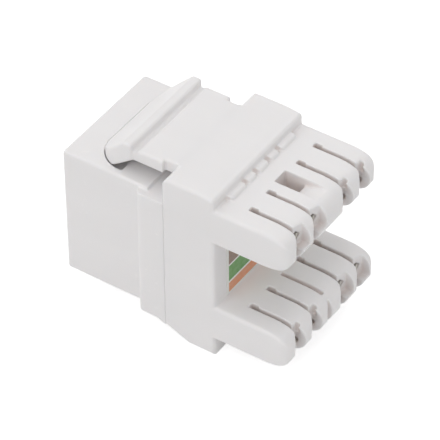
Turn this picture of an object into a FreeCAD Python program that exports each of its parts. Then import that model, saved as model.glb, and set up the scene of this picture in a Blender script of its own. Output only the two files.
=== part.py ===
"""Keystone jack: an eight-way modular socket with punch-down wire arms at its back.

Millimetres. +Y runs from the port face back to the wire arms, +Z points up to the latch, and
+X to the right of someone who looks into the port. The origin is the centre of the port face.
"""
import FreeCAD, Part
import os
from math import atan, cos, radians, sin, sqrt

from FreeCAD import Vector

# ---------------------------------------------------------------- driving dimensions
# Front body: the part that passes through a keystone opening
body_width = 14.7
body_height = 16.0
body_depth = 9.5            # port face to panel shoulder
body_edge = 0.35            # moulded edge radius

# Collar: stops behind the panel
collar_width = 16.4
collar_top = 7.7            # above the origin
collar_bottom = 8.4         # below the origin
collar_depth = 3.5
collar_edge = 0.75

# Fixed lug under the body
lug_width = 10.6
lug_front = 6.4             # behind the port face
lug_depth = 1.7
lug_bevel = 0.5

# Port for the modular plug
port_width = 11.9
port_top = 4.0
port_floor = 2.9            # below the origin
port_bevel = 0.5
key_width = 6.4
key_depth = 1.5
tab_width = 3.4
tab_depth = 1.5
front_wall = 1.4
bay_roof = 6.15             # roof of the space above the plug, over the carrier
bay_side = 0.05             # each side of the carrier

# Rear block
block_depth = 6.1           # seam to the rear face
block_top = 11.15
block_bottom = 10.1         # below the origin; the lug ends level with it
block_slope = 1.9           # length of the slight fall of the top towards the rear
block_fall = 0.22           # height lost over that slope
block_brow = 0.8            # radius of the front top edge beside the latch
block_edge = 0.4
ramp_start = 11.9           # where the underside starts to fall away, behind the port face
ramp_length = 3.9

# Wire arms
arm_length = 9.05           # beyond the rear face
arm_thickness = 4.46
upper_arm_bottom = 5.24
lower_arm_bottom = -7.85
arm_edge = 0.45
arm_corner = 1.2            # plan radius of the arm's rear corners
dome_length = 1.6           # the faces fall away over this length before the nose
dome_fall = 0.2
slot_inner = 2.7            # inner slots' centres from the middle
slot_inset = 2.4            # outer slots' centres from the arm's sides
slot_width = 0.45
slot_start = 2.75           # behind the rear face
root_width = 0.42           # of the slot's wider start, towards -X from its centre
root_length = 0.9
root_drop = 1.6             # below the arm's top face
mouth_length = 1.4          # the slot opens out towards -X over this length at the nose
mouth_slant = 0.3
mouth_width = 1.45          # from the slot's centre, where the contact leans to -X
mouth_sink = 0.45           # floor of that mouth below the arm's middle
mouth_brow = 0.4            # from the slot's centre at the top, where the contact leans to +X
mouth_foot = 0.9            # and at the bottom
well_gap = 0.25             # on each side of the contact, just inside the mouth
well_depth = 1.2
lobe_width = 1.8            # rounding of each finger's end beside the slot, across
lobe_depth = 0.85           # and along the arm
dimple_radius = 0.27
dimple_offset = 0.75        # from the slot's centre
dimple_inset = 1.05         # from the arm's end
dimple_depth = 1.6          # below the arm's top face

# Wire relief hole and trough in the middle of the upper arm
hole_width = 2.0
hole_start = 2.5
hole_length = 2.4
trough_drop = 1.0
trough_length = 3.4

# Groove along the middle of the lower arm's inner face
groove_width = 0.5
groove_depth = 0.7
groove_end = 1.25           # short of the arm's end

# Stops at the root of the upper arm
stop_reach = 0.75
stop_drop = 1.0             # below the block's top
stop_round = 0.35
stop_spans = ((-0.85, 0.85), (1.35, 2.75), (3.25, 5.85))

# Latch
latch_front = 3.1           # foot of the ramp behind the port face
latch_catch = 7.95          # rear face of the catch rib
latch_rib_flat = 1.0
latch_rib_height = 0.5      # above the plate
latch_rib_half = 6.4
latch_corner = 3.4          # plan radius of the ramp's front corners
latch_plate_half = 6.15
latch_plate_thick = 1.45
latch_neck_half = 5.6
latch_neck_length = 1.35
latch_groove_depth = 0.35
latch_groove_width = 0.45
latch_lip = 0.2             # upright front face of the ramp
latch_edge = 0.3            # rounding of its top edges
latch_foot_sink = 0.1       # the ramp's foot sits this far below the body's top
latch_travel = 6.0          # degrees, pressed down
latch_gap = 0.05
latch_heel = 2.4            # forward slope of the ramp's rear face below the plate
latch_side_edge = 0.15      # bevel of the ramp's sides

# Circuit board and the pieces it carries
board_thick = 1.6
board_side = 1.2            # block wall beside the board
board_top = 7.4
board_bottom = 7.9          # below the origin
spigot_length = 0.62        # the housing's step into the block, up to the board
fit = 0.03                  # seating clearance between mating pieces
contact_pitch = 1.02
contact_width = 0.46
contact_thick = 0.3
contact_bend = 0.7          # centre-line radius round the carrier's nose
nose_y = 3.9
nose_z = 5.25
knee_y = 10.2
knee_z = 2.0
tip_y = 12.6
tip_z = 2.35
comb_front = 11.6
comb_slot = 0.66
comb_back = 0.55            # wall left behind the comb's slots
comb_drop = 1.2             # slots reach this far below the contacts' tips
pin_hole = 0.7

# Insulation-displacement contacts
blade_width = 2.5
blade_thick = 0.4
blade_slit = 0.3
blade_tip = 1.2             # short of the arm's end
blade_fork = 5.4            # length of the wide, slit part
blade_taper = 1.0           # from the fork down to the shank
blade_throat = 0.8          # length of the slit's flared mouth
blade_flare = 0.45          # widening of that mouth on each side
blade_tilt = 45.0
blade_shank = 1.6
blade_play = 0.05           # around each contact in its pocket
pin_width = 0.6
pin_shift = 0.7             # to one side of the contact's middle
pin_reach = 0.1             # short of the board's front face
pin_play = 0.12             # hole radius beyond half the pin's width

# Colour-code label
label_half = 5.95
label_thick = 0.12
label_margin = 0.15         # to each arm

# ---------------------------------------------------------------- derived places
seam_y = body_depth + collar_depth
rear_y = seam_y + block_depth
arm_end = rear_y + arm_length
plate_top = block_top
plate_bottom = plate_top - latch_plate_thick
half_body = body_width / 2
half_collar = collar_width / 2
body_roof = body_height / 2
latch_foot = body_roof - latch_foot_sink
slot_centres = (slot_inner, half_collar - slot_inset)
arms = {"upper": upper_arm_bottom, "lower": lower_arm_bottom}
spigot_end = seam_y + spigot_length
board_y = spigot_end + fit
board_back = board_y + board_thick
pocket_back = board_back + fit
board_half = half_collar - board_side
FAR = 40.0                  # beyond every face of the part


# ---------------------------------------------------------------- helpers
def box(x0, x1, y0, y1, z0, z1):
    """Box between two corners."""
    return Part.makeBox(x1 - x0, y1 - y0, z1 - z0, Vector(x0, y0, z0))


def slab(half, y0, y1, z0, z1):
    """Box centred on the middle plane, half as wide as its first size on each side."""
    return box(-half, half, y0, y1, z0, z1)


def face_of(points):
    """Flat face from corner points; a triple of points in a tuple is an arc's end and middle."""
    edges = []
    here = points[0]
    for item in points[1:] + [points[0]]:
        if isinstance(item, tuple):
            middle, end = item
            edges.append(Part.Arc(here, middle, end).toShape())
        else:
            end = item
            if (end - here).Length > 1e-6:
                edges.append(Part.LineSegment(here, end).toShape())
        here = end
    return Part.Face(Part.Wire(edges))


def side_prism(points, x0, x1):
    """Side-view outline of (y, z) points, drawn across from x0 to x1."""
    def place(p):
        if isinstance(p[0], tuple):
            return (place(p[0]), place(p[1]))
        return Vector(x0, p[0], p[1])
    return face_of([place(p) for p in points]).extrude(Vector(x1 - x0, 0, 0))


def plan_prism(points, z0, z1):
    """Plan-view outline of (x, y) points, drawn up from z0 to z1."""
    def place(p):
        if isinstance(p[0], tuple):
            return (place(p[0]), place(p[1]))
        return Vector(p[0], p[1], z0)
    return face_of([place(p) for p in points]).extrude(Vector(0, 0, z1 - z0))


def fillet_where(shape, radius, chosen):
    """Round the edges that the test picks by their two ends and direction."""
    edges = []
    for edge in shape.Edges:
        if edge.Length > 2 * radius / 3 and chosen(edge):
            edges.append(edge)
    return shape.makeFillet(radius, edges)


def runs_along(edge, axis):
    """True for a straight edge along one axis (0, 1 or 2)."""
    if not isinstance(edge.Curve, Part.Line):
        return False
    direction = edge.Curve.Direction
    return abs(abs((direction.x, direction.y, direction.z)[axis]) - 1) < 1e-6


def centre_of(edge):
    return edge.BoundBox.Center


def union(shapes):
    whole = shapes[0]
    if len(shapes) > 1:
        whole = whole.fuse(shapes[1:])
    return whole.removeSplitter()


def stadium(start, end, thick, x0, x1):
    """Flat bar with round ends between two (y, z) points."""
    dy, dz = end[0] - start[0], end[1] - start[1]
    length = sqrt(dy * dy + dz * dz)
    ny, nz = -dz / length * thick / 2, dy / length * thick / 2
    uy, uz = dy / length * thick / 2, dz / length * thick / 2
    outline = [
        (start[0] + ny, start[1] + nz),
        ((start[0] - uy, start[1] - uz), (start[0] - ny, start[1] - nz)),
        (end[0] - ny, end[1] - nz),
        ((end[0] + uy, end[1] + uz), (end[0] + ny, end[1] + nz)),
    ]
    return side_prism(outline, x0, x1)


def export(shape, node):
    shape.exportStep("parts/%s.step" % node)


# ---------------------------------------------------------------- front housing
def underside_at(y):
    """Height of the underside behind the panel, down the ramp."""
    share = min(max((y - ramp_start) / ramp_length, 0.0), 1.0)
    return -collar_bottom - share * (block_bottom - collar_bottom)


def front_shell():
    body = slab(half_body, 0, seam_y, -body_roof, body_roof)
    body = fillet_where(body, body_edge, lambda e: not runs_along(e, 0) or centre_of(e).y < 1)
    body = body.common(slab(FAR, -1, body_depth + 1, -FAR, FAR))
    collar = side_prism([
        (body_depth, -collar_bottom),
        (ramp_start, -collar_bottom),
        (seam_y, underside_at(seam_y)),
        (seam_y, collar_top),
        (body_depth, collar_top),
    ], -half_collar, half_collar)
    collar = fillet_where(collar, collar_edge, lambda e: abs(centre_of(e).y - body_depth) < 0.01
                          and runs_along(e, 2))
    spigot = slab(board_half - fit, seam_y - 1, spigot_end, -board_bottom, board_top)
    lug = side_prism([
        (lug_front, -body_roof + 0.5),
        (lug_front, -block_bottom + lug_bevel),
        (lug_front + lug_bevel, -block_bottom),
        (lug_front + lug_depth, -block_bottom),
        (lug_front + lug_depth, -body_roof + 0.5),
    ], -lug_width / 2, lug_width / 2)
    return union([body, collar, spigot, lug])


def port_cuts():
    """Plug opening with its key and tab steps, and the space behind the front wall."""
    half_port = port_width / 2
    depth = spigot_end + 1
    plug = slab(half_port, -1, depth, -port_floor, port_top)
    key = slab(key_width / 2, -1, depth, -port_floor - key_depth, 0)
    tab = slab(tab_width / 2, -1, depth, -port_floor - key_depth - tab_depth, 0)
    behind = slab(key_width / 2, front_wall, depth, -port_floor - key_depth - tab_depth, 0)
    bay = slab(half_port + bay_side, front_wall, depth, -port_floor, bay_roof)
    bevel = Part.makeLoft([
        Part.makePolygon([Vector(x, y, z) for x, z in (
            (-half_port - e, -port_floor), (half_port + e, -port_floor),
            (half_port + e, port_top + e), (-half_port - e, port_top + e),
            (-half_port - e, -port_floor))])
        for y, e in ((-0.01, port_bevel), (port_bevel, 0.0))], True)
    return union([plug, key, tab, behind, bay, bevel])


def pressed(y, z):
    """Place in side view of a point of the latch once the latch is pressed."""
    turn = radians(latch_travel)
    along, up = y - seam_y, z - plate_bottom
    return (seam_y + along * cos(turn) - up * sin(turn),
            plate_bottom + up * cos(turn) + along * sin(turn))


def latch_pocket():
    """Room that the ramp of the latch sinks into when it is pressed."""
    toe = pressed(latch_front, latch_foot)
    heel = pressed(latch_catch - latch_heel, latch_foot)
    bend = pressed(latch_catch, plate_bottom)
    rise = (heel[1] - toe[1]) / (heel[0] - toe[0])
    lean = (bend[0] - heel[0]) / (bend[1] - heel[1])
    back = heel[0] + (body_roof - heel[1]) * lean + latch_gap
    room = side_prism([
        (0, toe[1] - toe[0] * rise - latch_gap),
        (back, toe[1] + (back - toe[0]) * rise - latch_gap),
        (back, FAR),
        (0, FAR),
    ], -FAR, FAR)
    return room.common(latch_prism(latch_gap))


def make_front_housing():
    return front_shell().cut([port_cuts(), latch_pocket()]).removeSplitter()


# ---------------------------------------------------------------- latch
def latch_prism(grow):
    """Upright prism on the plan outline of the ramp and rib, grown all round, back to the seam."""
    half = latch_rib_half + grow
    front = latch_front - grow
    corner = latch_corner
    bulge = corner * (1 - sqrt(0.5))
    return plan_prism([
        (-half, seam_y),
        (-half, front + corner),
        ((-half + bulge, front + bulge), (-half + corner, front)),
        (half - corner, front),
        ((half - bulge, front + bulge), (half, front + corner)),
        (half, seam_y),
    ], 0, FAR)


def make_latch():
    rib_top = plate_top + latch_rib_height
    rib_front = latch_catch - latch_rib_flat
    groove = plate_top - latch_groove_depth
    rise = latch_catch + latch_groove_width
    profile = side_prism([
        (latch_front, latch_foot),
        (latch_front, latch_foot + latch_lip),
        (rib_front, rib_top),
        (latch_catch, rib_top),
        (latch_catch, groove),
        (rise, groove),
        (rise + latch_groove_depth, plate_top),
        (seam_y, plate_top),
        (seam_y, plate_bottom),
        (latch_catch, plate_bottom),
        (latch_catch - latch_heel, latch_foot),
    ], -FAR, FAR)
    neck_start = seam_y - latch_neck_length
    ramp = latch_prism(0).common(slab(FAR, 0, latch_catch, 0, FAR))
    plate = slab(latch_plate_half, latch_catch - 1, neck_start, 0, FAR)
    neck = slab(latch_neck_half, neck_start - 1, seam_y, 0, FAR)
    latch = profile.common(union([ramp, plate, neck]))
    latch = fillet_where(latch, latch_edge, lambda e: centre_of(e).z > rib_top - 0.02
                         and runs_along(e, 0) or abs(centre_of(e).z - plate_top) < 0.01
                         and latch_catch + 1 < centre_of(e).y < seam_y - 0.1)
    return latch.makeChamfer(latch_side_edge, [
        e for e in latch.Edges if centre_of(e).y < latch_catch - 0.1
        and centre_of(e).z > latch_foot + latch_lip + 0.1 and abs(centre_of(e).x) > latch_rib_half / 2
        and e.Length > latch_side_edge])


# ---------------------------------------------------------------- rear block
def block_core():
    brink = block_top - block_fall
    core = side_prism([
        (seam_y, underside_at(seam_y)),
        (ramp_start + ramp_length, -block_bottom),
        (rear_y, -block_bottom),
        (rear_y, brink),
        (rear_y - block_slope, block_top),
        (seam_y, block_top),
    ], -half_collar, half_collar)
    core = fillet_where(core, block_edge, lambda e: centre_of(e).y > seam_y + 0.1
                        and (abs(centre_of(e).x) > half_collar - 0.01
                             or abs(centre_of(e).z - brink) < 0.01))
    brow = side_prism([
        (seam_y - 1, block_top + 1),
        (seam_y - 1, block_top - block_brow),
        (seam_y, block_top - block_brow),
        ((seam_y + block_brow * (1 - sqrt(0.5)), block_top - block_brow * (1 - sqrt(0.5))),
         (seam_y + block_brow, block_top)),
        (seam_y + block_brow, block_top + 1),
    ], latch_neck_half, FAR)
    return core.cut([brow, mirrored(brow)])


def mirrored(shape):
    return shape.mirror(Vector(0, 0, 0), Vector(1, 0, 0))


def arm_blank(bottom):
    """One wire arm before its slots: a thick tongue whose faces fall to a round nose."""
    half = arm_thickness / 2
    middle = bottom + half
    slope = 2 * atan(dome_fall / dome_length)
    nose_radius = (half - dome_fall) / cos(slope)
    brink = arm_end - nose_radius * (1 - sin(slope))
    shoulder = brink - dome_length
    bow = dome_length / sin(slope)
    bulge = (shoulder + bow * sin(slope / 2), half - bow * (1 - cos(slope / 2)))
    root = rear_y - 2
    blank = side_prism([
        (root, bottom),
        (shoulder, bottom),
        ((bulge[0], middle - bulge[1]), (brink, bottom + dome_fall)),
        ((arm_end, middle), (brink, middle + half - dome_fall)),
        ((bulge[0], middle + bulge[1]), (shoulder, middle + half)),
        (root, middle + half),
    ], -half_collar, half_collar)
    blank = fillet_where(blank, arm_edge, lambda e: abs(abs(centre_of(e).x) - half_collar) < 0.01
                         and centre_of(e).y > rear_y - 1)
    sagitta = arm_corner * (1 - sqrt(0.5))
    return blank.common(plan_prism([
        (-half_collar, root),
        (half_collar, root),
        (half_collar, arm_end - arm_corner),
        ((half_collar - sagitta, arm_end - sagitta), (half_collar - arm_corner, arm_end)),
        (arm_corner - half_collar, arm_end),
        ((sagitta - half_collar, arm_end - sagitta), (-half_collar, arm_end - arm_corner)),
    ], bottom - 1, bottom + arm_thickness + 1))


def slot_cuts(centre, bottom, leaning):
    """One wire slot: a wider start, a narrow run and a mouth that opens out towards -X."""
    top = bottom + arm_thickness
    middle = bottom + arm_thickness / 2
    half = slot_width / 2
    start = rear_y + slot_start
    mouth = arm_end - mouth_length
    cuts = [
        box(centre - half, centre + half, start, FAR, bottom - 1, top + 1),
        box(centre - root_width, centre + half, start, start + root_length, top - root_drop, top + 1),
    ]
    if leaning < 0:
        cuts.append(plan_prism([
            (centre + half, mouth),
            (centre - half, mouth),
            (centre - mouth_width, mouth + mouth_slant),
            (centre - mouth_width, FAR),
            (centre + half, FAR),
        ], middle - mouth_sink, top + 1))
    if leaning > 0:
        spread = Part.Face(Part.makePolygon([Vector(centre + x, mouth, z) for x, z in (
            (half, bottom), (half, top), (-mouth_brow, top), (-mouth_foot, middle),
            (-mouth_foot, bottom), (half, bottom))]))
        cuts.append(spread.extrude(Vector(0, FAR, 0)))
        spot = Vector(centre - dimple_offset, arm_end - dimple_inset, top - dimple_depth)
        cuts.append(Part.makeCylinder(dimple_radius, arm_thickness, spot))
    well = box(-blade_width / 2 - blade_play, blade_width / 2 + blade_play,
               mouth - well_depth, mouth + mouth_slant,
               -blade_thick / 2 - well_gap, blade_thick / 2 + well_gap)
    well.rotate(Vector(0, 0, 0), Vector(0, 1, 0), -leaning * blade_tilt)
    well.translate(Vector(centre, 0, middle))
    return cuts + [well, lobe_cut(centre + half, bottom)]


def lobe_cut(centre, bottom):
    """Rounds off the end of the finger on the +X side of a slot, in plan."""
    chord = Vector(lobe_width, lobe_depth, 0)
    bulge = Vector(lobe_depth, -lobe_width, 0) * -0.15
    start = Vector(centre, arm_end - lobe_depth, 0)
    middle = start + chord * 0.5 + bulge
    end = start + chord
    return plan_prism([
        (start.x, start.y),
        ((middle.x, middle.y), (end.x, end.y)),
        (end.x, FAR),
        (start.x, FAR),
    ], bottom - 1, bottom + arm_thickness + 1)


def blade_leaning(arm, centre):
    """The side that a contact's top leans to: the pairs of an arm lean apart, the arms mirror."""
    outward = -1 if centre > 0 else 1
    return outward if arm == "upper" else -outward


def make_rear_block():
    block = block_core()
    block = union([block] + [arm_blank(bottom) for bottom in arms.values()] + arm_stops())
    cuts = [slab(board_half, seam_y - 1, pocket_back, -board_bottom - fit, board_top + fit)]
    for arm, bottom in arms.items():
        for side in (1, -1):
            for centre in slot_centres:
                leaning = blade_leaning(arm, side * centre)
                cuts += slot_cuts(side * centre, bottom, leaning)
                cuts.append(blade_solid(side * centre, bottom, leaning, blade_play))
    cuts += relief_cuts() + groove_cuts()
    return block.cut(cuts).removeSplitter()


def arm_stops():
    """Row of small stops at the root of the upper arm."""
    root = upper_arm_bottom + arm_thickness
    top = block_top - stop_drop
    stops = []
    for low, high in stop_spans:
        for side in (1, -1):
            if low < 0 and side < 0:
                continue
            x0, x1 = sorted((side * low, side * high))
            stop = box(x0, x1, rear_y - 1, rear_y + stop_reach, root - 0.2, top)
            stops.append(fillet_where(stop, stop_round, lambda e: centre_of(e).y > rear_y
                                      and centre_of(e).z > root))
    return stops


def relief_cuts():
    """Hole through the upper arm's middle and the trough that runs from it to the nose."""
    bottom = upper_arm_bottom
    top = bottom + arm_thickness
    start = rear_y + hole_start
    end = start + hole_length
    half = hole_width / 2
    hole = box(-half, half, start, end, bottom - 1, top + 1)
    trough = side_prism([
        (end - 0.1, top + 1),
        (end - 0.1, top - trough_drop),
        (end + trough_length, top + 0.02),
        (end + trough_length, top + 1),
    ], -half, half)
    return [hole, trough]


def groove_cuts():
    """Groove along the lower arm's inner face, and the step in the middle of its nose."""
    face = lower_arm_bottom + arm_thickness
    groove = slab(groove_width / 2, rear_y + slot_start, arm_end - groove_end, face - groove_depth,
                  face + 1)
    return [groove, lobe_cut(0, lower_arm_bottom)]


# ---------------------------------------------------------------- insulation-displacement contacts
def blade_solid(centre, bottom, leaning, grow):
    """A contact's outline in its own plane, turned about the slot's centre line.

    With grow above zero it is the pocket that the contact sits in, without slit or pin.
    """
    middle = bottom + arm_thickness / 2
    tip = arm_end - blade_tip
    fork = tip - blade_fork
    half = blade_width / 2 + grow
    shank = blade_shank / 2 + grow
    back = pocket_back if grow == 0 else pocket_back - 0.5
    front = tip + grow
    neck = fork - blade_taper
    outline = [(-pin_shift - shank, back), (-pin_shift - shank, neck), (-half, fork),
               (-half, front), (half, front), (half, fork),
               (-pin_shift + shank, neck), (-pin_shift + shank, back)]
    blade = plan_prism(outline, -blade_thick / 2 - grow, blade_thick / 2 + grow)
    if grow == 0:
        narrow = blade_slit / 2
        wide = narrow + blade_flare
        throat = tip - blade_throat
        blade = blade.cut(plan_prism([(-narrow, fork + blade_taper), (-narrow, throat), (-wide, tip),
                                      (-wide, tip + 1), (wide, tip + 1), (wide, tip),
                                      (narrow, throat), (narrow, fork + blade_taper)], -1, 1))
        pin = box(-pin_shift - pin_width / 2, -pin_shift + pin_width / 2,
                  board_y + pin_reach, back + 0.5, -blade_thick / 2, blade_thick / 2)
        blade = union([blade, pin])
    turn = 180 - blade_tilt if leaning < 0 else blade_tilt
    blade.rotate(Vector(0, 0, 0), Vector(0, 1, 0), -turn)
    blade.translate(Vector(centre, 0, middle))
    return blade


def make_idc_contacts():
    number = 0
    for arm, bottom in arms.items():
        for centre in (slot_centres[1], slot_centres[0], -slot_centres[0], -slot_centres[1]):
            number += 1
            blade = blade_solid(centre, bottom, blade_leaning(arm, centre), 0)
            export(blade, "idc_contact_%d" % number)


# ---------------------------------------------------------------- jack contacts
def contact_places():
    return [(index - 3.5) * contact_pitch for index in range(8)]


def make_jack_contacts():
    """Sprung lengths that a plug lifts; each turns where it leaves the carrier's nose."""
    pivot = (nose_y + fit + contact_thick / 2, nose_z - contact_bend)
    for index, x in enumerate(contact_places()):
        x0, x1 = x - contact_width / 2, x + contact_width / 2
        wire = union([
            stadium(pivot, (knee_y, knee_z), contact_thick, x0, x1),
            stadium((knee_y, knee_z), (tip_y, tip_z), contact_thick, x0, x1),
        ])
        export(wire, "jack_contact_%d" % (index + 1))


def make_contact_roots():
    """Anchored lengths: from the board over the carrier and round its nose."""
    top = nose_z + contact_bend
    inner, outer = contact_bend - contact_thick / 2, contact_bend + contact_thick / 2
    roots = []
    for x in contact_places():
        x0, x1 = x - contact_width / 2, x + contact_width / 2
        roots.append(side_prism([
            (board_back - pin_reach, nose_z + inner),
            (nose_y, nose_z + inner),
            ((nose_y - inner, nose_z), (nose_y, nose_z - inner)),
            (nose_y, nose_z - outer),
            ((nose_y - outer, nose_z), (nose_y, nose_z + outer)),
            (board_back - pin_reach, nose_z + outer),
        ], x0, x1))
    export(Part.makeCompound(roots), "contact_roots")


def make_carrier():
    """Insert that the contacts bend round, with a comb that keeps their tips apart."""
    half = port_width / 2
    thick = contact_bend - contact_thick / 2 - fit
    back = board_y - fit
    carrier = side_prism([
        (back, -port_floor + fit),
        (back, nose_z + thick),
        (nose_y, nose_z + thick),
        ((nose_y - thick, nose_z), (nose_y, nose_z - thick)),
        (comb_front, nose_z - thick),
        (comb_front, -port_floor + fit),
    ], -half, half)
    slots = [box(x - comb_slot / 2, x + comb_slot / 2, comb_front - 1, back - comb_back,
                 tip_z - comb_drop, nose_z - thick) for x in contact_places()]
    return carrier.cut(slots)


def make_board():
    board = slab(board_half - fit, board_y, board_back, -board_bottom, board_top)
    holes = []
    for x in contact_places():
        holes.append((x, nose_z + contact_bend, pin_hole / 2))
    for arm, bottom in arms.items():
        middle = bottom + arm_thickness / 2
        for side in (1, -1):
            for centre in slot_centres:
                leaning = blade_leaning(arm, side * centre)
                lean = pin_shift * sin(radians(blade_tilt))
                holes.append((side * centre - leaning * lean, middle - lean,
                              pin_width / 2 + pin_play))
    return board.cut([drilled(x, z, r) for x, z, r in holes])


def drilled(x, z, radius):
    """Plated hole through the board, drawn with eight sides."""
    corners = [Vector(x + radius * cos(radians(a)), board_y - 1, z + radius * sin(radians(a)))
               for a in range(0, 361, 45)]
    return Part.Face(Part.makePolygon(corners)).extrude(Vector(0, board_thick + 2, 0))


def make_label():
    low = lower_arm_bottom + arm_thickness + label_margin
    high = upper_arm_bottom - label_margin
    return slab(label_half, rear_y, rear_y + label_thick, low, high)


# ---------------------------------------------------------------- build
os.makedirs("parts", exist_ok=True)
export(make_front_housing(), "front_housing")
export(make_latch(), "latch")
export(make_rear_block(), "rear_block")
export(make_carrier(), "contact_carrier")
export(make_board(), "circuit_board")
export(make_label(), "wiring_label")
make_contact_roots()
make_jack_contacts()
make_idc_contacts()
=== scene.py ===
"""Dresses the keystone jack: rounded mouldings, spring wires, forked blades, label and stage.

Everything is in metres, in the jack's own frame: +Y runs from the port face back to the wire
arms, +Z points up to the latch.
"""
import math

import bmesh
import bpy
from mathutils import Matrix, Vector
from mathutils.bvhtree import BVHTree


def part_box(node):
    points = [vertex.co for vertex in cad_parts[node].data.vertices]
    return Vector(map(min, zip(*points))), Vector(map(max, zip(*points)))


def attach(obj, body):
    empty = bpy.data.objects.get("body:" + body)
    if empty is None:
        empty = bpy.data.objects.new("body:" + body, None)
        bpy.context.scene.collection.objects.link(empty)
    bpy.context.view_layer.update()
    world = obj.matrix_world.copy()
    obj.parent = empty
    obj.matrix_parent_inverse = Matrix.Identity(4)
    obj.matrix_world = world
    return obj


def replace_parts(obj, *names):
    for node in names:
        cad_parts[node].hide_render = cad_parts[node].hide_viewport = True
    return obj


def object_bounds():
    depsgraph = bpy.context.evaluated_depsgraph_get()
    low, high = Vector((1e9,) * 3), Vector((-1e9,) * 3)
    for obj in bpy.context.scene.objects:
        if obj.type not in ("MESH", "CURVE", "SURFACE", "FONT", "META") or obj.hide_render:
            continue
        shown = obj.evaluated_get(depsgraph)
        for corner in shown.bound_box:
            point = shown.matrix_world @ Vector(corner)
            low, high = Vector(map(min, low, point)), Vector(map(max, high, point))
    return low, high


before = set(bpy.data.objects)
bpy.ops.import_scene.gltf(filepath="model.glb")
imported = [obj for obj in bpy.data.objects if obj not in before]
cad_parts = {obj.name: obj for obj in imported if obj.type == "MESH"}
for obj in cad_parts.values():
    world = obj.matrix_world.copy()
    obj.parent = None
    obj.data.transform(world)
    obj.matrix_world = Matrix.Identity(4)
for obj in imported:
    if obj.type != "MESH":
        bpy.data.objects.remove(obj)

bl_info = {
    "name": "Keystone Jack Finish",
    "version": (1, 0, 0),
    "blender": (4, 5, 0),
    "location": "View3D > Sidebar > Jack",
    "description": "Builds the looks of a keystone jack on its packed solids",
    "category": "Object",
}

CAD_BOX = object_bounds()
MM = 0.001
WAYS = 8
BLACK, WHITE = (0, 0, 0, 1), (1, 1, 1, 1)

# Masks: where each starts and where it is full
PAINTED_EDGE_HIGHLIGHT = (0.60, 0.72)            # Pointiness where a painted highlight lightens an edge
PAINTED_RECESS_SHADE = (0.35, 0.95)          # share of near walls, where painted shade darkens a recess
DULL_SPOT = (0.48, 0.72)

# Swings of a noise: times the first number, plus the second
FLOW_TONE = (0.045, 0.978)
GRAIN_ROUGHNESS = (0.16, -0.08)
LINE_ROUGHNESS = (0.22, -0.08)
INK_COVER = (0.25, 0.80)
INK_ROUGHNESS = (0.2, 0.42)
WEAVE_ROUGHNESS = (0.15, 0.25)

# Sizes of surface patterns, and shares of them that show
SINK_SIZE = 4 * MM
SINK_HEIGHT = 4.0
LINE_SIZE = 0.09 * MM
SPOT_SIZE = 1.1 * MM
SPOT_SHARE = 0.45
FIBRE_SIZE = 0.12 * MM
INK_SIZE = 0.6 * MM
WEAVE_SIZE = 0.2 * MM

# Depths of bump
MOULD_DEPTH = 0.008 * MM
INSERT_DEPTH = 0.012 * MM
METAL_DEPTH = 0.004 * MM
PAPER_DEPTH = 0.006 * MM
TRACK_DEPTH = 0.02 * MM

# Dull sides of the metals, and the bare edge of the board
GOLD_DULL, GOLD_ROUGHNESS = (0.60, 0.36, 0.12, 1), 0.24
TIN_DULL, TIN_ROUGHNESS = (0.33, 0.31, 0.28, 1), 0.36
WEAVE_LIGHT, WEAVE_DARK = (0.50, 0.44, 0.22, 1), (0.36, 0.33, 0.15, 1)
BOARD_SKIN = 0.05 * MM              # coating on each face of the board

# Copper tracks under the board's coating
TRACK_GAP = 0.12 * MM
TRACK_LENGTH = 2.1 * MM
TRACK_PITCH = 1.02 * MM

# Label: foot of the lowest band and top of each band, above the label's lower edge
BAND_FOOT = 0.22 * MM
BAND_TOPS = (1.42 * MM, 3.68 * MM, 6.05 * MM, 8.10 * MM)

# Meshes
MERGE_DISTANCE = 0.002 * MM
END_DEPTH = 0.01 * MM               # what counts as a moulding's back end
SMOOTHING = 0.5
RAY_START = 0.02                    # millimetres off the wall
RAY_LOWEST = 0.15                   # rise of the flattest ray

# Spring wires
BEND_STEPS = 10
EDGE_STEPS = 3
EDGE_SHARE = 0.28                   # radius of a wire's edges, of its thickness
KNEE_SHARE = 0.68                   # of the wire's length, up to the knee
KNEE_SHIFT = 0.33 * MM
TIP_RISE = 0.35 * MM                # from the knee up to the tip

# Stage
LAMPS = (("top", (0.00, 0.02, 0.45)), ("right", (0.32, 0.00, 0.28)), ("front", (0.05, -0.35, 0.30)),
         ("left", (-0.35, 0.00, 0.25)), ("back", (0.03, 0.40, 0.20)))
LAMP_SIZE = 0.35
FLOOR_REACH = 3.0
AIM = (-0.00049, 0.0140, -0.00039)
SENSOR_WIDTH = 36.0
NEAREST = 0.01                      # start of the camera's view


# ---------------------------------------------------------------- settings
def colour(name, description, default):
    """Colour property with four channels in linear light."""
    return bpy.props.FloatVectorProperty(
        name=name, description=description, default=default, subtype="COLOR", size=4, min=0, max=1)


def length(name, description, default):
    """Length property in metres."""
    return bpy.props.FloatProperty(
        name=name, description=description, default=default, min=0, unit="LENGTH", precision=6)


def share(name, description, default):
    """Property from 0 to 1."""
    return bpy.props.FloatProperty(
        name=name, description=description, default=default, min=0, max=1, subtype="FACTOR")


def power(name, description, default):
    """Strength of a light."""
    return bpy.props.FloatProperty(name=name, description=description, default=default, min=0)


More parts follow.
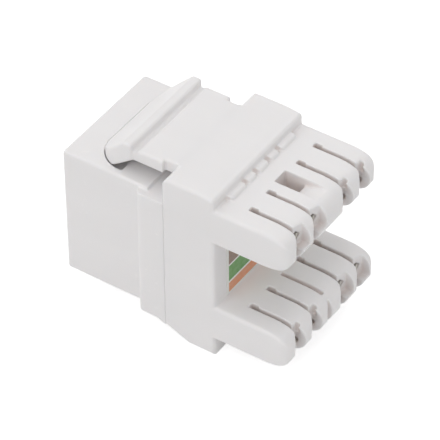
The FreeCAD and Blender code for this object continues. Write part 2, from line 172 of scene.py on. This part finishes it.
class JackPlastic(bpy.types.PropertyGroup):
    """Moulded plastic of the housing, the rear block and the insert."""

    housing: colour(
        "Housing", "Colour of the housing, rear block and latch", (0.868, 0.850, 0.850, 1))
    insert: colour(
        "Insert", "Colour of the insert that carries the contacts", (0.640, 0.625, 0.590, 1))
    roughness: share("Roughness", "Roughness of the moulded faces", 0.42)
    cell: length("Cell", "Grid on which the mouldings' edges are rounded", 0.00008)
    passes: bpy.props.IntProperty(
        name="Passes", description="Smoothing passes that round the edges", default=6, min=1,
        max=30)
    triangles: bpy.props.IntProperty(
        name="Triangles", description="Most triangles in one moulding", default=170000, min=1000)
    seam_overlap: length("Seam Overlap", "Run of the front housing into the rear block", 0.00010)
    neck_overlap: length("Neck Overlap", "Run of the latch's neck into the rear block", 0.00030)
    recess_reach: length("Recess Reach", "How far off a wall still shades a recess", 0.0035)
    recess_rays: bpy.props.IntProperty(
        name="Recess Rays", description="Directions looked in from each corner", default=24, min=4)
    # Painted shade: tint multiplied into recesses where near walls stand
    recess: colour("Recess", "Tint that deep recesses take on", (0.85, 0.77, 0.73, 1))
    grain: length("Grain", "Size of the fine grain left by the mould", 0.00016)


class JackLabel(bpy.types.PropertyGroup):
    """Colour code between the wire arms."""

    paper: colour("Paper", "Colour of the label's border", (0.80, 0.80, 0.77, 1))
    blue: colour("Blue", "Colour of the uppermost band", (0.060, 0.150, 0.380, 1))
    brown: colour("Brown", "Colour of the band under it", (0.290, 0.195, 0.150, 1))
    green: colour("Green", "Colour of the third band", (0.130, 0.330, 0.090, 1))
    orange: colour("Orange", "Colour of the lowest band", (0.740, 0.310, 0.160, 1))
    border: length("Border", "White border at the label's ends", 0.00030)
    gap: length("Gap", "White line between two bands", 0.00025)


class JackMetal(bpy.types.PropertyGroup):
    """Spring wires of the port and blades of the wire slots."""

    gold: colour("Gold", "Colour of the plated spring wires", (0.86, 0.60, 0.24, 1))
    tin: colour("Tin", "Colour of the tinned blades", (0.56, 0.55, 0.52, 1))
    wire_width: length("Wire Width", "Width of a spring wire", 0.00044)
    wire_thickness: length("Wire Thickness", "Thickness of a spring wire", 0.00028)
    knee_radius: length("Knee Radius", "Bend radius at a wire's knee", 0.0009)
    blade_cell: length("Blade Cell", "Grid on which the blades' edges are rounded", 0.00005)
    blade_passes: bpy.props.IntProperty(
        name="Blade Passes", description="Smoothing passes that round the blades", default=2, min=1)
    blade_triangles: bpy.props.IntProperty(
        name="Blade Triangles", description="Most triangles in the eight blades", default=80000,
        min=1000)
    board: colour("Board", "Colour of the circuit board's coating", (0.020, 0.130, 0.050, 1))


class JackStage(bpy.types.PropertyGroup):
    """Camera, lights, floor and world."""

    azimuth: bpy.props.FloatProperty(
        name="Azimuth", description="Turn of the camera about the vertical",
        default=math.radians(124.31), subtype="ANGLE")
    elevation: bpy.props.FloatProperty(
        name="Elevation", description="Height angle of the camera",
        default=math.radians(41.91), subtype="ANGLE")
    roll: bpy.props.FloatProperty(
        name="Roll", description="Tilt of the camera about its own axis",
        default=math.radians(-0.57), subtype="ANGLE")
    distance: length("Distance", "From the camera to the point that it looks at", 0.3392)
    lens: bpy.props.FloatProperty(
        name="Lens", description="Focal length of the camera", default=270.0, unit="CAMERA")
    floor: colour("Floor", "Colour of the floor", (0.80, 0.80, 0.80, 1))
    backdrop: power("Backdrop", "White that the floor shows by itself to the camera", 0.62)
    world: power("World", "Strength of the room's light", 0.42)
    top: power("Top", "Power of the lamp overhead", 0.22)
    right: power("Right", "Power of the lamp above the right side", 0.50)
    front: power("Front", "Power of the lamp above the port", 0.43)
    left: power("Left", "Power of the lamp above the left side", 0.27)
    back: power("Back", "Power of the lamp behind the wire arms", 0.21)


# ---------------------------------------------------------------- node helpers
def add(tree, kind, **values):
    """Adds a node and sets its properties."""
    made = tree.nodes.new(kind)
    for name, value in values.items():
        setattr(made, name, value)
    return made


def feed(tree, target, *sources):
    """Sets or links a node's inputs in order; None leaves one alone."""
    for place, source in enumerate(sources):
        if source is None:
            continue
        if isinstance(source, bpy.types.NodeSocket):
            tree.links.new(source, target.inputs[place])
        else:
            target.inputs[place].default_value = source
    return target


def maths(tree, operation, *sources, clamp=False):
    """Math node with its inputs; returns its value."""
    made = add(tree, "ShaderNodeMath", operation=operation, use_clamp=clamp)
    return feed(tree, made, *sources).outputs[0]


def ramp(tree, factor, stops, interpolation="LINEAR"):
    """Colour ramp over (position, colour) stops; returns its colour."""
    made = add(tree, "ShaderNodeValToRGB")
    made.color_ramp.interpolation = interpolation
    while len(made.color_ramp.elements) < len(stops):
        made.color_ramp.elements.new(1.0)
    for element, (position, tint) in zip(made.color_ramp.elements, stops):
        element.position = position
        element.color = tint
    return feed(tree, made, factor).outputs[0]


def mask(tree, factor, start, full):
    """0 below start, 1 above full."""
    return ramp(tree, factor, [(start, BLACK), (full, WHITE)])


def mix(tree, factor, first, second, blend="MIX"):
    """Colour mix; returns its colour."""
    made = add(tree, "ShaderNodeMix", data_type="RGBA", blend_type=blend)
    for name, value in (("Factor", factor), ("A", first), ("B", second)):
        socket = [s for s in made.inputs if s.name == name and s.enabled][0]
        if isinstance(value, bpy.types.NodeSocket):
            tree.links.new(value, socket)
        else:
            socket.default_value = value
    return [s for s in made.outputs if s.enabled][0]


def noise(tree, vector, size, detail=2.0, stretch=None):
    """Noise whose lumps are about one size across; returns its factor from 0 to 1."""
    if stretch:
        vector = feed(tree, add(tree, "ShaderNodeMapping"), vector, None, None, stretch).outputs[0]
    made = add(tree, "ShaderNodeTexNoise")
    tree.links.new(vector, made.inputs["Vector"])
    made.inputs["Detail"].default_value = detail
    if isinstance(size, bpy.types.NodeSocket):
        tree.links.new(maths(tree, "DIVIDE", 1.0, size), made.inputs["Scale"])
    else:
        made.inputs["Scale"].default_value = 1 / size
    return made.outputs["Fac"]


def group(name, inputs, outputs):
    """Shader node group with named sockets, built once; returns (tree, new, inlet, outlet)."""
    tree = bpy.data.node_groups.get(name)
    if tree:
        return tree, False, None, None
    tree = bpy.data.node_groups.new(name, "ShaderNodeTree")
    for socket, kind, default in inputs:
        made = tree.interface.new_socket(socket, in_out="INPUT", socket_type="NodeSocket" + kind)
        if default is not None:
            made.default_value = default
    for socket, kind in outputs:
        tree.interface.new_socket(socket, in_out="OUTPUT", socket_type="NodeSocket" + kind)
    return tree, True, add(tree, "NodeGroupInput"), add(tree, "NodeGroupOutput")


# ---------------------------------------------------------------- shared effects
def moulded_surface():
    """Fine mould grain and slow unevenness of injection-moulded plastic, with painted highlights on
    its edges and painted shade in its recesses.
    """
    tree, new, inlet, outlet = group(
        "Moulded Surface",
        [("Vector", "Vector", None), ("Colour", "Color", (0.8, 0.8, 0.8, 1)),
         ("Edge Colour", "Color", (1, 1, 1, 1)), ("Edge Share", "Float", 0.3),
         ("Recess", "Float", 0.0), ("Recess Colour", "Color", (0.6, 0.5, 0.5, 1)),
         ("Roughness", "Float", 0.4), ("Grain Size", "Float", 0.00016),
         ("Sink Size", "Float", SINK_SIZE)],
        [("Colour", "Color"), ("Roughness", "Float"), ("Height", "Float")])
    if not new:
        return tree
    (vector, tint, highlight_tint, highlight_share, recess, shade_tint, rough, grain_size,
     sink_size) = inlet.outputs[:9]
    grain = noise(tree, vector, grain_size, detail=3.0)
    sink = noise(tree, vector, sink_size, detail=1.0)
    flow = noise(tree, vector, sink_size, detail=2.0, stretch=(1.0, 0.35, 1.0))
    edge = add(tree, "ShaderNodeNewGeometry").outputs["Pointiness"]
    # Painted highlight: edges lightened by their Pointiness
    edge_highlight = mask(tree, edge, *PAINTED_EDGE_HIGHLIGHT)
    # Painted shade: recesses darkened by the share of near walls
    painted_shade = mask(tree, recess, *PAINTED_RECESS_SHADE)
    tone = maths(tree, "MULTIPLY_ADD", flow, *FLOW_TONE)
    grey = feed(tree, add(tree, "ShaderNodeCombineColor"), tone, tone, tone).outputs[0]
    toned = mix(tree, 1.0, tint, grey, "MULTIPLY")
    # Painted shade multiplied into the recesses
    toned = mix(tree, painted_shade, toned, shade_tint, "MULTIPLY")
    # Painted highlight mixed onto the edges
    toned = mix(tree, maths(tree, "MULTIPLY", edge_highlight, highlight_share), toned, highlight_tint)
    uneven = maths(tree, "MULTIPLY_ADD", grain, *GRAIN_ROUGHNESS)
    feed(tree, outlet, toned, maths(tree, "ADD", rough, uneven, clamp=True),
         maths(tree, "ADD", grain, maths(tree, "MULTIPLY", sink, SINK_HEIGHT)))
    return tree


def drawn_metal():
    """Fine lines left on drawn wire and stamped strip, with dull spots."""
    tree, new, inlet, outlet = group(
        "Drawn Metal",
        [("Vector", "Vector", None), ("Colour", "Color", (0.8, 0.8, 0.8, 1)),
         ("Dull Colour", "Color", (0.4, 0.4, 0.4, 1)), ("Roughness", "Float", 0.25)],
        [("Colour", "Color"), ("Roughness", "Float"), ("Height", "Float")])
    if not new:
        return tree
    vector, tint, dull, rough = inlet.outputs[:4]
    lines = noise(tree, vector, LINE_SIZE, detail=2.0, stretch=(1.0, 0.06, 1.0))
    spot = mask(tree, noise(tree, vector, SPOT_SIZE, detail=3.0), *DULL_SPOT)
    feed(tree, outlet, mix(tree, maths(tree, "MULTIPLY", spot, SPOT_SHARE), tint, dull),
         maths(tree, "ADD", rough, maths(tree, "MULTIPLY_ADD", lines, *LINE_ROUGHNESS), clamp=True),
         lines)
    return tree


# ---------------------------------------------------------------- materials
def blank_material(name, bump_depth=None, **constants):
    """Material with a Principled BSDF whose constants sit on its own sockets."""
    made = bpy.data.materials.new(name)
    made.use_nodes = True
    tree = made.node_tree
    shader = tree.nodes["Principled BSDF"]
    for socket, value in constants.items():
        shader.inputs[socket.replace("_", " ")].default_value = value
    coords = add(tree, "ShaderNodeTexCoord").outputs["Object"]
    bump = None
    if bump_depth:
        bump = add(tree, "ShaderNodeBump")
        bump.inputs["Distance"].default_value = bump_depth
        tree.links.new(bump.outputs[0], shader.inputs["Normal"])
    return made, tree, shader, coords, bump


def place_group(tree, effect, vector, values):
    """Puts a shared effect into a material with its own values."""
    made = add(tree, "ShaderNodeGroup", node_tree=effect)
    tree.links.new(vector, made.inputs["Vector"])
    for socket, value in values.items():
        if isinstance(value, bpy.types.NodeSocket):
            tree.links.new(value, made.inputs[socket])
        else:
            made.inputs[socket].default_value = value
    return made


def dress(tree, surface, shader, bump):
    """Links a placed effect to the shader and its bump."""
    tree.links.new(surface.outputs["Colour"], shader.inputs["Base Color"])
    tree.links.new(surface.outputs["Roughness"], shader.inputs["Roughness"])
    tree.links.new(surface.outputs["Height"], bump.inputs["Height"])


def plastic(name, tint, roughness, grain, depth=MOULD_DEPTH, highlight_share=0.3):
    """Moulded plastic in one tint, with painted shade in recesses and painted highlights on edges.
    """
    if name in bpy.data.materials:
        return bpy.data.materials[name]
    made, tree, shader, coords, bump = blank_material(
        name, depth, IOR=1.50, Subsurface_Weight=0.12, Subsurface_Scale=0.0012,
        Subsurface_Radius=(1.0, 0.85, 0.7))
    # Painted shade in recesses, from the share of near walls
    recess = add(tree, "ShaderNodeAttribute", attribute_name="recess").outputs["Fac"]
    surface = place_group(tree, moulded_surface(), coords, {
        "Recess": recess, "Recess Colour": tuple(bpy.context.scene.jack_plastic.recess),
        # Painted highlight: edges 12 per cent lighter than the tint
        "Colour": tint, "Edge Colour": [min(1.0, c * 1.12) for c in tint[:3]] + [1],
        "Edge Share": highlight_share, "Roughness": roughness, "Grain Size": grain})
    dress(tree, surface, shader, bump)
    return made


def metal(name, tint, dull, roughness):
    """Plated metal with drawing lines."""
    if name in bpy.data.materials:
        return bpy.data.materials[name]
    made, tree, shader, coords, bump = blank_material(name, METAL_DEPTH, Metallic=1.0)
    surface = place_group(tree, drawn_metal(), coords, {
        "Colour": tint, "Dull Colour": dull, "Roughness": roughness})
    dress(tree, surface, shader, bump)
    return made


def housing_plastic():
    look = bpy.context.scene.jack_plastic
    return plastic("white_moulding", tuple(look.housing), look.roughness, look.grain)


def insert_plastic():
    look = bpy.context.scene.jack_plastic
    # Painted highlight on the insert's edges at half strength
    return plastic("insert_moulding", tuple(look.insert), look.roughness + 0.1, look.grain * 1.5,
                   depth=INSERT_DEPTH, highlight_share=0.15)


def gold():
    tint = tuple(bpy.context.scene.jack_metal.gold)
    return metal("gold_plating", tint, GOLD_DULL, GOLD_ROUGHNESS)


def tin():
    tint = tuple(bpy.context.scene.jack_metal.tin)
    return metal("tin_plating", tint, TIN_DULL, TIN_ROUGHNESS)


def label_print():
    """Paper with four bands of colour across it, one under another."""
    look = bpy.context.scene.jack_label
    low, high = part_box("wiring_label")
    made, tree, shader, coords, bump = blank_material("label_print", PAPER_DEPTH)
    split = feed(tree, add(tree, "ShaderNodeSeparateXYZ"), coords)
    height = feed(tree, add(tree, "ShaderNodeMapRange"), split.outputs["Z"], low.z, high.z, 0.0,
                  1.0).outputs[0]
    paper = tuple(look.paper)
    stops = [(0.0, paper)]
    bottom, tall = BAND_FOOT, high.z - low.z
    for tint, top in zip((look.orange, look.green, look.brown, look.blue), BAND_TOPS):
        stops += [(bottom / tall, tuple(tint)), (top / tall, paper)]
        bottom = top + look.gap
    stripes = ramp(tree, height, stops, "CONSTANT")
    reach = maths(tree, "ABSOLUTE", split.outputs["X"])
    inside = maths(tree, "LESS_THAN", reach, high.x - look.border)
    fibre = noise(tree, coords, FIBRE_SIZE, detail=3.0)
    ink = noise(tree, coords, INK_SIZE, detail=4.0)
    inked = maths(tree, "MULTIPLY_ADD", ink, *INK_COVER, clamp=True)
    cover = maths(tree, "MULTIPLY", inside, inked)
    tree.links.new(mix(tree, cover, paper, stripes), shader.inputs["Base Color"])
    tree.links.new(maths(tree, "MULTIPLY_ADD", ink, *INK_ROUGHNESS), shader.inputs["Roughness"])
    tree.links.new(fibre, bump.inputs["Height"])
    return made


def board_coating():
    """Green coating over copper tracks, with the bare woven edge of the board."""
    look = bpy.context.scene.jack_metal
    low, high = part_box("circuit_board")
    made, tree, shader, coords, bump = blank_material("board_coating", TRACK_DEPTH, IOR=1.55)
    green = tuple(look.board)
    tracks = add(tree, "ShaderNodeTexBrick", offset=0.35, squash=1.6, squash_frequency=3)
    tracks.inputs["Scale"].default_value = 1.0
    tracks.inputs["Mortar Size"].default_value = TRACK_GAP
    tracks.inputs["Brick Width"].default_value = TRACK_LENGTH
    tracks.inputs["Row Height"].default_value = TRACK_PITCH
    split = feed(tree, add(tree, "ShaderNodeSeparateXYZ"), coords)
    flat = feed(tree, add(tree, "ShaderNodeCombineXYZ"), split.outputs["Z"], split.outputs["X"])
    tree.links.new(flat.outputs[0], tracks.inputs["Vector"])
    over_copper = [min(1.0, c * 1.8) for c in green[:3]] + [1]
    face = mix(tree, tracks.outputs["Fac"], green, over_copper)
    weave = noise(tree, coords, WEAVE_SIZE, detail=2.0, stretch=(1.0, 6.0, 1.0))
    edge = mix(tree, weave, WEAVE_LIGHT, WEAVE_DARK)
    middle = (low.y + high.y) / 2
    depth = maths(tree, "ABSOLUTE", maths(tree, "SUBTRACT", split.outputs["Y"], middle))
    core = maths(tree, "LESS_THAN", depth, (high.y - low.y) / 2 - BOARD_SKIN)
    tree.links.new(mix(tree, core, face, edge), shader.inputs["Base Color"])
    tree.links.new(maths(tree, "MULTIPLY_ADD", weave, *WEAVE_ROUGHNESS), shader.inputs["Roughness"])
    tree.links.new(tracks.outputs["Fac"], bump.inputs["Height"])
    return made


# ---------------------------------------------------------------- mesh helpers
def put(name, mesh, material, body):
    """Links a finished mesh as a piece on its body."""
    made = bpy.data.objects.new(name, mesh)
    bpy.context.scene.collection.objects.link(made)
    mesh.materials.clear()
    mesh.materials.append(material)
    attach(made, body)
    return made


def coat(node_name, material):
    """Gives a solid that stays as it is its own material."""
    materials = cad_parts[node_name].data.materials
    materials.clear()
    materials.append(material)


def merged_copy(name, node_names):
    """Copy of the solids' meshes with their loose triangles joined at the corners."""
    source = bmesh.new()
    for node_name in node_names:
        source.from_mesh(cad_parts[node_name].data)
    bmesh.ops.remove_doubles(source, verts=source.verts, dist=MERGE_DISTANCE)
    mesh = bpy.data.meshes.new(name + "_merged")
    source.to_mesh(mesh)
    source.free()
    return mesh


def evaluated(holder):
    """The object as its modifiers show it."""
    bpy.context.view_layer.update()
    return holder.evaluated_get(bpy.context.evaluated_depsgraph_get())


def softened(name, mesh, cell, passes, triangles):
    """The same shape on a fine grid, its edges and corners rounded by smoothing passes."""
    holder = bpy.data.objects.new(name + "_base", mesh)
    bpy.context.scene.collection.objects.link(holder)
    grid = holder.modifiers.new("grid", "REMESH")
    grid.mode = "VOXEL"
    grid.voxel_size = cell
    rounding = holder.modifiers.new("rounding", "SMOOTH")
    rounding.factor = SMOOTHING
    rounding.iterations = passes
    count = sum(len(face.vertices) - 2 for face in evaluated(holder).data.polygons)
    fewer = holder.modifiers.new("fewer", "DECIMATE")
    fewer.ratio = min(1.0, triangles / count)
    made = bpy.data.meshes.new_from_object(evaluated(holder))
    made.name = name
    bpy.data.objects.remove(holder)
    if not made.polygons:
        raise RuntimeError("nothing was left of " + name)
    for face in made.polygons:
        face.use_smooth = True
    return made


def paint_recess_shade(mesh, reach, rays):
    """Gives each corner the share of directions in which a wall is near, as an attribute from which
    the material paints shade into recesses.

    The rays run in millimetres.
    """
    mesh.calc_loop_triangles()
    corners = [v.co / MM for v in mesh.vertices]
    walls = BVHTree.FromPolygons(corners, [t.vertices for t in mesh.loop_triangles])
    spiral = []
    for step in range(rays):
        rise = RAY_LOWEST + (1 - RAY_LOWEST) * (step + 0.5) / rays
        turn = step * math.pi * (3 - math.sqrt(5))
        spread = math.sqrt(1 - rise * rise)
        spiral.append(Vector((spread * math.cos(turn), spread * math.sin(turn), rise)))
    shares = []
    for corner, vertex in zip(corners, mesh.vertices):
        upright = vertex.normal.to_track_quat("Z", "Y")
        start = corner + vertex.normal * RAY_START
        met = sum(walls.ray_cast(start, upright @ way, reach / MM)[0] is not None for way in spiral)
        shares.append(met / rays)
    mesh.attributes.new("recess", "FLOAT", "POINT").data.foreach_set("value", shares)


def moulded_piece(name, node_names, material, body, overlap=0.0):
    """Moulded piece: the solids' own shape with every edge softly rounded.

    Its back end goes on into the next moulding by overlap, so that the rounding opens no gap.
    """
    look = bpy.context.scene.jack_plastic
    mesh = merged_copy(name, node_names)
    back_end = max(vertex.co.y for vertex in mesh.vertices)
    for vertex in mesh.vertices:
        if vertex.co.y > back_end - END_DEPTH:
            vertex.co.y += overlap
    soft = softened(name, mesh, look.cell, look.passes, look.triangles)
    made = put(name, soft, material, body)
    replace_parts(made, *node_names)
    return made


# ---------------------------------------------------------------- geometry trees
def geometry_tree(name, sockets):
    """Geometry node tree with named inputs; returns (tree, inlet, outlet)."""
    tree = bpy.data.node_groups.new(name, "GeometryNodeTree")
    tree.interface.new_socket("Geometry", in_out="INPUT", socket_type="NodeSocketGeometry")
    for socket, kind in sockets:
        tree.interface.new_socket(socket, in_out="INPUT", socket_type="NodeSocket" + kind)
    tree.interface.new_socket("Geometry", in_out="OUTPUT", socket_type="NodeSocketGeometry")
    return tree, add(tree, "NodeGroupInput"), add(tree, "NodeGroupOutput")


def finish_tree(tree, geometry, material, outlet):
    """Ends a tree with real geometry and its material."""
    real = feed(tree, add(tree, "GeometryNodeRealizeInstances"), geometry)
    dressed = add(tree, "GeometryNodeSetMaterial")
    tree.links.new(real.outputs[0], dressed.inputs["Geometry"])
    tree.links.new(material, dressed.inputs["Material"])
    tree.links.new(dressed.outputs[0], outlet.inputs[0])
    return tree


def grown(name, base, tree, values):
    """Mesh that a geometry tree makes from a base mesh and its named inputs."""
    holder = bpy.data.objects.new(name + "_base", base)
    bpy.context.scene.collection.objects.link(holder)
    modifier = holder.modifiers.new("grow", "NODES")
    modifier.node_group = tree
    for item in tree.interface.items_tree:
        if item.in_out == "INPUT" and item.name in values:
            modifier[item.identifier] = values[item.name]
    mesh = bpy.data.meshes.new_from_object(evaluated(holder))
    mesh.name = name
    bpy.data.objects.remove(holder)
    if not mesh.polygons:
        raise RuntimeError("the tree made nothing for " + name)
    return mesh


def wire_tree():
    """Flat wire with rounded edges along a path of straight runs."""
    tree, inlet, outlet = geometry_tree("Flat Wire", [
        ("Width", "Float"), ("Thickness", "Float"), ("Bend Radius", "Float"),
        ("Material", "Material")])
    geometry, width, thickness, bend, material = inlet.outputs[:5]
    path = feed(tree, add(tree, "GeometryNodeMeshToCurve"), geometry)
    bent = add(tree, "GeometryNodeFilletCurve")
    bent.mode = "POLY"
    tree.links.new(path.outputs[0], bent.inputs["Curve"])
    bent.inputs["Count"].default_value = BEND_STEPS
    tree.links.new(bend, bent.inputs["Radius"])
    upright = add(tree, "GeometryNodeSetCurveNormal", mode="Z_UP")
    tree.links.new(bent.outputs[0], upright.inputs["Curve"])
    section = add(tree, "GeometryNodeCurvePrimitiveQuadrilateral")
    tree.links.new(width, section.inputs["Width"])
    tree.links.new(thickness, section.inputs["Height"])
    soft = add(tree, "GeometryNodeFilletCurve")
    soft.mode = "POLY"
    tree.links.new(section.outputs[0], soft.inputs["Curve"])
    soft.inputs["Count"].default_value = EDGE_STEPS
    tree.links.new(maths(tree, "MULTIPLY", thickness, EDGE_SHARE), soft.inputs["Radius"])
    swept = add(tree, "GeometryNodeCurveToMesh")
    tree.links.new(upright.outputs[0], swept.inputs["Curve"])
    tree.links.new(soft.outputs[0], swept.inputs["Profile Curve"])
    swept.inputs["Fill Caps"].default_value = True
    return finish_tree(tree, swept.outputs[0], material, outlet)


def path_mesh(chains):
    """Open chains of edges, each through its own points."""
    points, edges = [], []
    for chain in chains:
        edges += [(i, i + 1) for i in range(len(points), len(points) + len(chain) - 1)]
        points += chain
    mesh = bpy.data.meshes.new("path")
    mesh.from_pydata(points, edges, [])
    return mesh


# ---------------------------------------------------------------- operators
class JACK_OT_front_housing(bpy.types.Operator):
    """Front housing with the plug port, collar and lug"""

    bl_idname = "jack.front_housing"
    bl_label = "Front Housing"

    def execute(self, context):
        moulded_piece("front_shell", ["front_housing"], housing_plastic(), "housing",
                      overlap=context.scene.jack_plastic.seam_overlap)
        return {"FINISHED"}


class JACK_OT_rear_block(bpy.types.Operator):
    """Rear block with its two slotted wire arms"""

    bl_idname = "jack.rear_block"
    bl_label = "Rear Block"

    def execute(self, context):
        look = context.scene.jack_plastic
        shell = moulded_piece("rear_shell", ["rear_block"], housing_plastic(), "housing")
        # Share of near walls, for painted shade in the rear block's recesses
        paint_recess_shade(shell.data, look.recess_reach, look.recess_rays)
        return {"FINISHED"}


class JACK_OT_latch(bpy.types.Operator):
    """Sprung latch with its ramp and catch rib"""

    bl_idname = "jack.latch"
    bl_label = "Latch"

    def execute(self, context):
        moulded_piece("latch_shell", ["latch"], housing_plastic(), "latch",
                      overlap=context.scene.jack_plastic.neck_overlap)
        return {"FINISHED"}


class JACK_OT_carrier(bpy.types.Operator):
    """Insert that the contacts bend round, with its comb"""

    bl_idname = "jack.carrier"
    bl_label = "Contact Carrier"

    def execute(self, context):
        moulded_piece("carrier_shell", ["contact_carrier"], insert_plastic(), "housing")
        return {"FINISHED"}


class JACK_OT_label(bpy.types.Operator):
    """Colour-code label between the wire arms"""

    bl_idname = "jack.label"
    bl_label = "Label"

    def execute(self, context):
        coat("wiring_label", label_print())
        return {"FINISHED"}


class JACK_OT_board(bpy.types.Operator):
    """Circuit board that the contacts' pins stand in"""

    bl_idname = "jack.board"
    bl_label = "Circuit Board"

    def execute(self, context):
        coat("circuit_board", board_coating())
        return {"FINISHED"}


class JACK_OT_port_contacts(bpy.types.Operator):
    """Eight sprung wires in the port and their anchored lengths"""

    bl_idname = "jack.port_contacts"
    bl_label = "Port Contacts"

    def execute(self, context):
        look = context.scene.jack_metal
        tree = wire_tree()
        values = {"Width": look.wire_width, "Thickness": look.wire_thickness,
                  "Bend Radius": look.knee_radius, "Material": gold()}
        roots = []
        low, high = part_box("contact_roots")
        half = look.wire_thickness / 2
        for number in range(1, WAYS + 1):
            node_name = "jack_contact_%d" % number
            near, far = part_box(node_name)
            x = (near.x + far.x) / 2
            knee_y = near.y + KNEE_SHARE * (far.y - near.y) + KNEE_SHIFT
            chain = [(x, near.y + half, far.z - half), (x, knee_y, near.z + half),
                     (x, far.y - half, near.z + half + TIP_RISE)]
            self.wire("port_wire_%d" % number, [chain], tree, values, node_name, node_name)
            front = low.y + half
            roots.append([(x, high.y, high.z - half), (x, front, high.z - half),
                          (x, front, low.z + half), (x, near.y + half, low.z + half)])
        values["Bend Radius"] = (high.z - low.z) / 2 - half
        self.wire("wire_roots", roots, tree, values, "housing", "contact_roots")
        return {"FINISHED"}

    def wire(self, name, chains, tree, values, body, node_name):
        mesh = grown(name, path_mesh(chains), tree, values)
        for face in mesh.polygons:
            face.use_smooth = True
        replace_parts(put(name, mesh, gold(), body), node_name)


class JACK_OT_wire_contacts(bpy.types.Operator):
    """Eight forked blades that grip the conductors in the slots"""

    bl_idname = "jack.wire_contacts"
    bl_label = "Wire Contacts"

    def execute(self, context):
        look = context.scene.jack_metal
        node_names = ["idc_contact_%d" % number for number in range(1, WAYS + 1)]
        mesh = softened("slot_blades", merged_copy("slot_blades", node_names), look.blade_cell,
                        look.blade_passes, look.blade_triangles)
        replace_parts(put("slot_blades", mesh, tin(), "housing"), *node_names)
        return {"FINISHED"}


class JACK_OT_stage(bpy.types.Operator):
    """Floor, world, lamps and camera"""

    bl_idname = "jack.stage"
    bl_label = "Stage"

    def execute(self, context):
        look = context.scene.jack_stage
        scene = context.scene
        scene.view_settings.view_transform = "Standard"
        low, high = CAD_BOX
        centre = (Vector(low) + Vector(high)) / 2
        self.floor(look, low[2])
        self.world(scene, look)
        for side, place in LAMPS:
            self.lamp(side + "_lamp", place, centre, getattr(look, side))
        self.camera(scene, look)
        return {"FINISHED"}

    def backdrop_rays(self, tree):
        """1 for the rays that should meet the plain white backdrop."""
        path = add(tree, "ShaderNodeLightPath")
        seen = maths(tree, "MAXIMUM", path.outputs["Is Camera Ray"], path.outputs["Is Glossy Ray"])
        return maths(tree, "MAXIMUM", seen, path.outputs["Is Transmission Ray"])

    def floor(self, look, level):
        mesh = bpy.data.meshes.new("floor")
        corners = [(x * FLOOR_REACH, y * FLOOR_REACH, level)
                   for x, y in ((-1, -1), (1, -1), (1, 1), (-1, 1))]
        mesh.from_pydata(corners, [], [(0, 1, 2, 3)])
        made = bpy.data.objects.new("floor", mesh)
        bpy.context.scene.collection.objects.link(made)
        material, tree, shader, *_ = blank_material("floor_white", Roughness=0.9)
        shader.inputs["Base Color"].default_value = tuple(look.floor)
        shader.inputs["Emission Color"].default_value = WHITE
        shader.inputs["Specular IOR Level"].default_value = 0.0
        glow = maths(tree, "MULTIPLY", self.backdrop_rays(tree), look.backdrop)
        tree.links.new(glow, shader.inputs["Emission Strength"])
        mesh.materials.append(material)

    def world(self, scene, look):
        scene.world = bpy.data.worlds.new("room")
        scene.world.use_nodes = True
        tree = scene.world.node_tree
        shade = tree.nodes["Background"]
        level = feed(tree, add(tree, "ShaderNodeMapRange"), self.backdrop_rays(tree), 0.0, 1.0,
                     look.world, 1.0)
        tree.links.new(level.outputs[0], shade.inputs["Strength"])
        shade.inputs["Color"].default_value = WHITE

    def lamp(self, name, place, centre, watts):
        data = bpy.data.lights.new(name, "AREA")
        data.size = LAMP_SIZE
        data.energy = watts
        made = bpy.data.objects.new(name, data)
        bpy.context.scene.collection.objects.link(made)
        away = Vector(place) - centre
        turn = away.to_track_quat("Z", "Y").to_matrix().to_4x4()
        made.matrix_world = Matrix.Translation(place) @ turn

    def camera(self, scene, look):
        data = bpy.data.cameras.new("camera")
        data.lens = look.lens
        data.sensor_width = SENSOR_WIDTH
        data.clip_start = NEAREST
        made = bpy.data.objects.new("camera", data)
        scene.collection.objects.link(made)
        aim = Vector(AIM)
        flat = math.cos(look.elevation)
        back = Vector((flat * math.sin(look.azimuth), -flat * math.cos(look.azimuth),
                       math.sin(look.elevation)))
        turn = back.to_track_quat("Z", "Y").to_matrix().to_4x4()
        made.matrix_world = (Matrix.Translation(aim + back * look.distance) @ turn
                             @ Matrix.Rotation(look.roll, 4, "Z"))
        scene.camera = made


PIECES = (JACK_OT_front_housing, JACK_OT_rear_block, JACK_OT_latch, JACK_OT_carrier, JACK_OT_board,
          JACK_OT_label, JACK_OT_port_contacts, JACK_OT_wire_contacts, JACK_OT_stage)


class JACK_PT_finish(bpy.types.Panel):
    """Lists the pieces of the jack"""

    bl_idname = "JACK_PT_finish"
    bl_label = "Keystone Jack"
    bl_space_type = "VIEW_3D"
    bl_region_type = "UI"
    bl_category = "Jack"

    def draw(self, context):
        column = self.layout.column()
        for piece in PIECES:
            column.operator(piece.bl_idname)


GROUPS = {"jack_plastic": JackPlastic, "jack_label": JackLabel, "jack_metal": JackMetal,
          "jack_stage": JackStage}


def register():
    for kind in (*GROUPS.values(), *PIECES, JACK_PT_finish):
        bpy.utils.register_class(kind)
    for name, kind in GROUPS.items():
        setattr(bpy.types.Scene, name, bpy.props.PointerProperty(type=kind))


def unregister():
    for name in GROUPS:
        delattr(bpy.types.Scene, name)
    for kind in reversed((*GROUPS.values(), *PIECES, JACK_PT_finish)):
        bpy.utils.unregister_class(kind)


def main():
    register()
    for piece in PIECES:
        section, name = piece.bl_idname.split(".")
        getattr(getattr(bpy.ops, section), name)()


if __name__ == "__main__":
    main()
